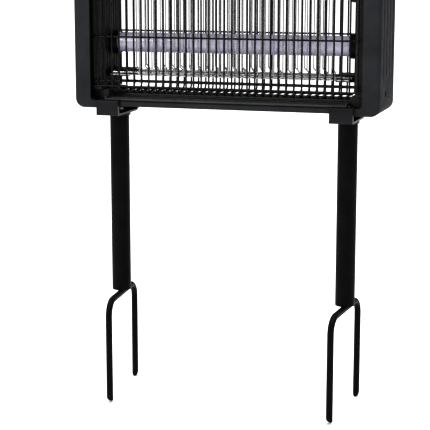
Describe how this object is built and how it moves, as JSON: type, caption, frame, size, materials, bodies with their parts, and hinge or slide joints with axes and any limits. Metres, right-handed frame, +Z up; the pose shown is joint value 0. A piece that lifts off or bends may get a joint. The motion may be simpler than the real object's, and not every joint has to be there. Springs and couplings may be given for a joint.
{
  "type": "electric bug zapper",
  "caption": "Rectangular ultraviolet insect killer with wire guard, high-voltage grids and slide-out tray, on two round legs with two-pronged ground forks.",
  "frame": {"origin": "on the soil line, midway between the two legs, at their axes", "axes": "+Z up, -Y the front, +X to the right seen from the front"},
  "size_m": [0.402, 0.1393, 0.6831],
  "materials": {
    "housing_plastic": "satin moulded charcoal plastic",
    "inner_plastic": "matt black moulded plastic",
    "guard_coating": "black powder-coated wire",
    "bracket_plastic": "satin charcoal plastic",
    "leg_coating": "matt black powder coat",
    "grid_steel": "bright drawn wire",
    "insulator": "matt black plastic",
    "lamp_glass": "phosphor-coated lamp glass, unlit",
    "cap_metal": "pressed lamp cap",
    "tray_plastic": "satin black plastic",
    "screw_steel": "zinc-plated steel",
    "core_steel": "grey lacquered laminations",
    "board_laminate": "green circuit board",
    "lead_sheath": "off-white insulation",
    "switch_plastic": "red gloss plastic"
  },
  "bodies": {
    "head": {"right_end_cap": "housing_plastic", "left_end_cap": "housing_plastic", "front_bottom_rail": "housing_plastic", "rear_bottom_rail": "housing_plastic", "top_housing": "housing_plastic", "top_cover": "housing_plastic", "right_inner_panel": "inner_plastic", "left_inner_panel": "inner_plastic", "right_tray_guide": "inner_plastic", "left_tray_guide": "inner_plastic", "front_guard": "guard_coating", "rear_guard": "guard_coating", "bottom_guard": "guard_coating", "right_leg_bracket": "bracket_plastic", "left_leg_bracket": "bracket_plastic", "right_leg_tube": "leg_coating", "left_leg_tube": "leg_coating", "right_fork_plug": "leg_coating", "left_fork_plug": "leg_coating", "right_ground_fork": "leg_coating", "left_ground_fork": "leg_coating", "front_live_grid": "grid_steel", "front_return_grid": "grid_steel", "rear_live_grid": "grid_steel", "rear_return_grid": "grid_steel", "right_lower_grid_arm": "insulator", "left_lower_grid_arm": "insulator", "right_upper_grid_arm": "insulator", "left_upper_grid_arm": "insulator", "right_lower_lamp_holder": "insulator", "left_lower_lamp_holder": "insulator", "right_upper_lamp_holder": "insulator", "left_upper_lamp_holder": "insulator", "cable_gland": "insulator", "switch_frame": "insulator", "right_leg_top_plug": "insulator", "left_leg_top_plug": "insulator", "right_lower_case_screw": "screw_steel", "left_lower_case_screw": "screw_steel", "right_upper_case_screw": "screw_steel", "left_upper_case_screw": "screw_steel", "right_leg_bolt": "screw_steel", "left_leg_bolt": "screw_steel", "right_hanging_lug": "screw_steel", "left_hanging_lug": "screw_steel", "ballast": "core_steel", "high_voltage_transformer": "core_steel", "multiplier_board": "board_laminate", "terminal_block": "lead_sheath", "right_lamp_lead": "lead_sheath", "left_lamp_lead": "lead_sheath"},
    "tray": {"collection_tray": "tray_plastic"},
    "lower_lamp": {"lower_lamp_glass": "lamp_glass", "right_lower_lamp_cap": "cap_metal", "left_lower_lamp_cap": "cap_metal"},
    "upper_lamp": {"upper_lamp_glass": "lamp_glass", "right_upper_lamp_cap": "cap_metal", "left_upper_lamp_cap": "cap_metal"},
    "rocker": {"switch_rocker": "switch_plastic"}
  },
  "joints": [
    {"name": "tray_slide", "type": "slide", "parent": "head", "child": "tray", "axis": [0, -1, 0], "range_m": [0, 0.085]},
    {"name": "lower_lamp_twist", "type": "hinge", "parent": "head", "child": "lower_lamp", "pos_m": [0, 0.01, 0.3323], "axis": [1, 0, 0], "range_deg": [0, 90]},
    {"name": "upper_lamp_twist", "type": "hinge", "parent": "head", "child": "upper_lamp", "pos_m": [0, 0.01, 0.4023], "axis": [1, 0, 0], "range_deg": [0, 90]},
    {"name": "power_rocker", "type": "hinge", "parent": "head", "child": "rocker", "pos_m": [0.06, 0.0575, 0.4943], "axis": [1, 0, 0], "range_deg": [-14, 0]}
  ]
}
